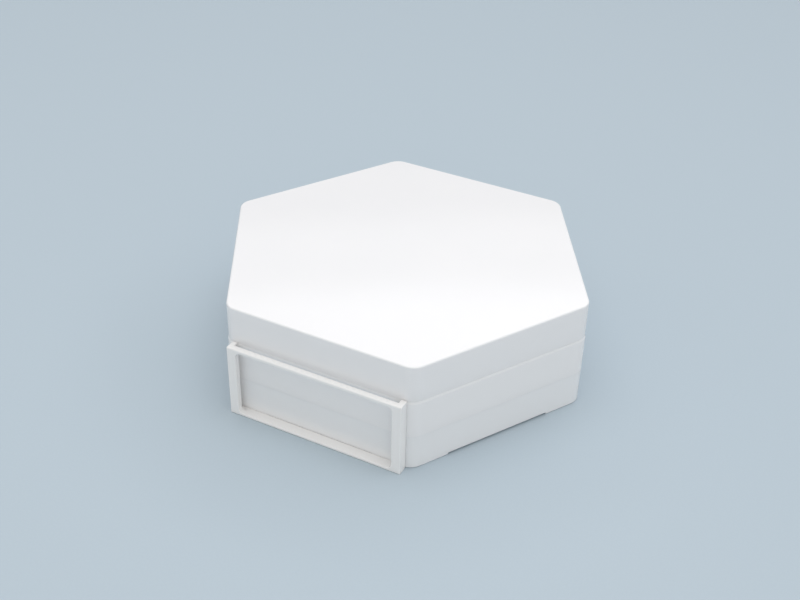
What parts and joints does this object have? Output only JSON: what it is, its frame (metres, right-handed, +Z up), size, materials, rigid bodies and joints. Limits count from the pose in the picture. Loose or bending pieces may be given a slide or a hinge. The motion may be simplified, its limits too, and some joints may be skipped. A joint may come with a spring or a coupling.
{
  "type": "hexagonal stacking case with label frame",
  "caption": "Low hexagonal plastic case of stacked trays under a lift-off lid, standing on moulded corner feet, with an open-topped label frame on one side.",
  "frame": {"origin": "centre of the hexagon on the plane that the feet stand on", "axes": "+Z up; the label frame is on the side that faces -Y; two corners of the hexagon lie on the X axis"},
  "size_m": [0.198, 0.1793, 0.0586],
  "materials": {
    "case_white": "glossy moulded white",
    "lid_white": "glossy moulded white",
    "frame_white": "slightly warmer moulded white, semi-gloss"
  },
  "bodies": {
    "base": {"base_tray": "case_white"},
    "middle": {"middle_tray": "case_white", "label_frame": "frame_white"},
    "lid": {"lid": "lid_white"}
  },
  "joints": [
    {"name": "middle_tray_lift", "type": "slide", "parent": "base", "child": "middle", "axis": [0, 0, 1], "range_m": [0, 0.06]},
    {"name": "lid_lift", "type": "slide", "parent": "middle", "child": "lid", "axis": [0, 0, 1], "range_m": [0, 0.06]}
  ]
}
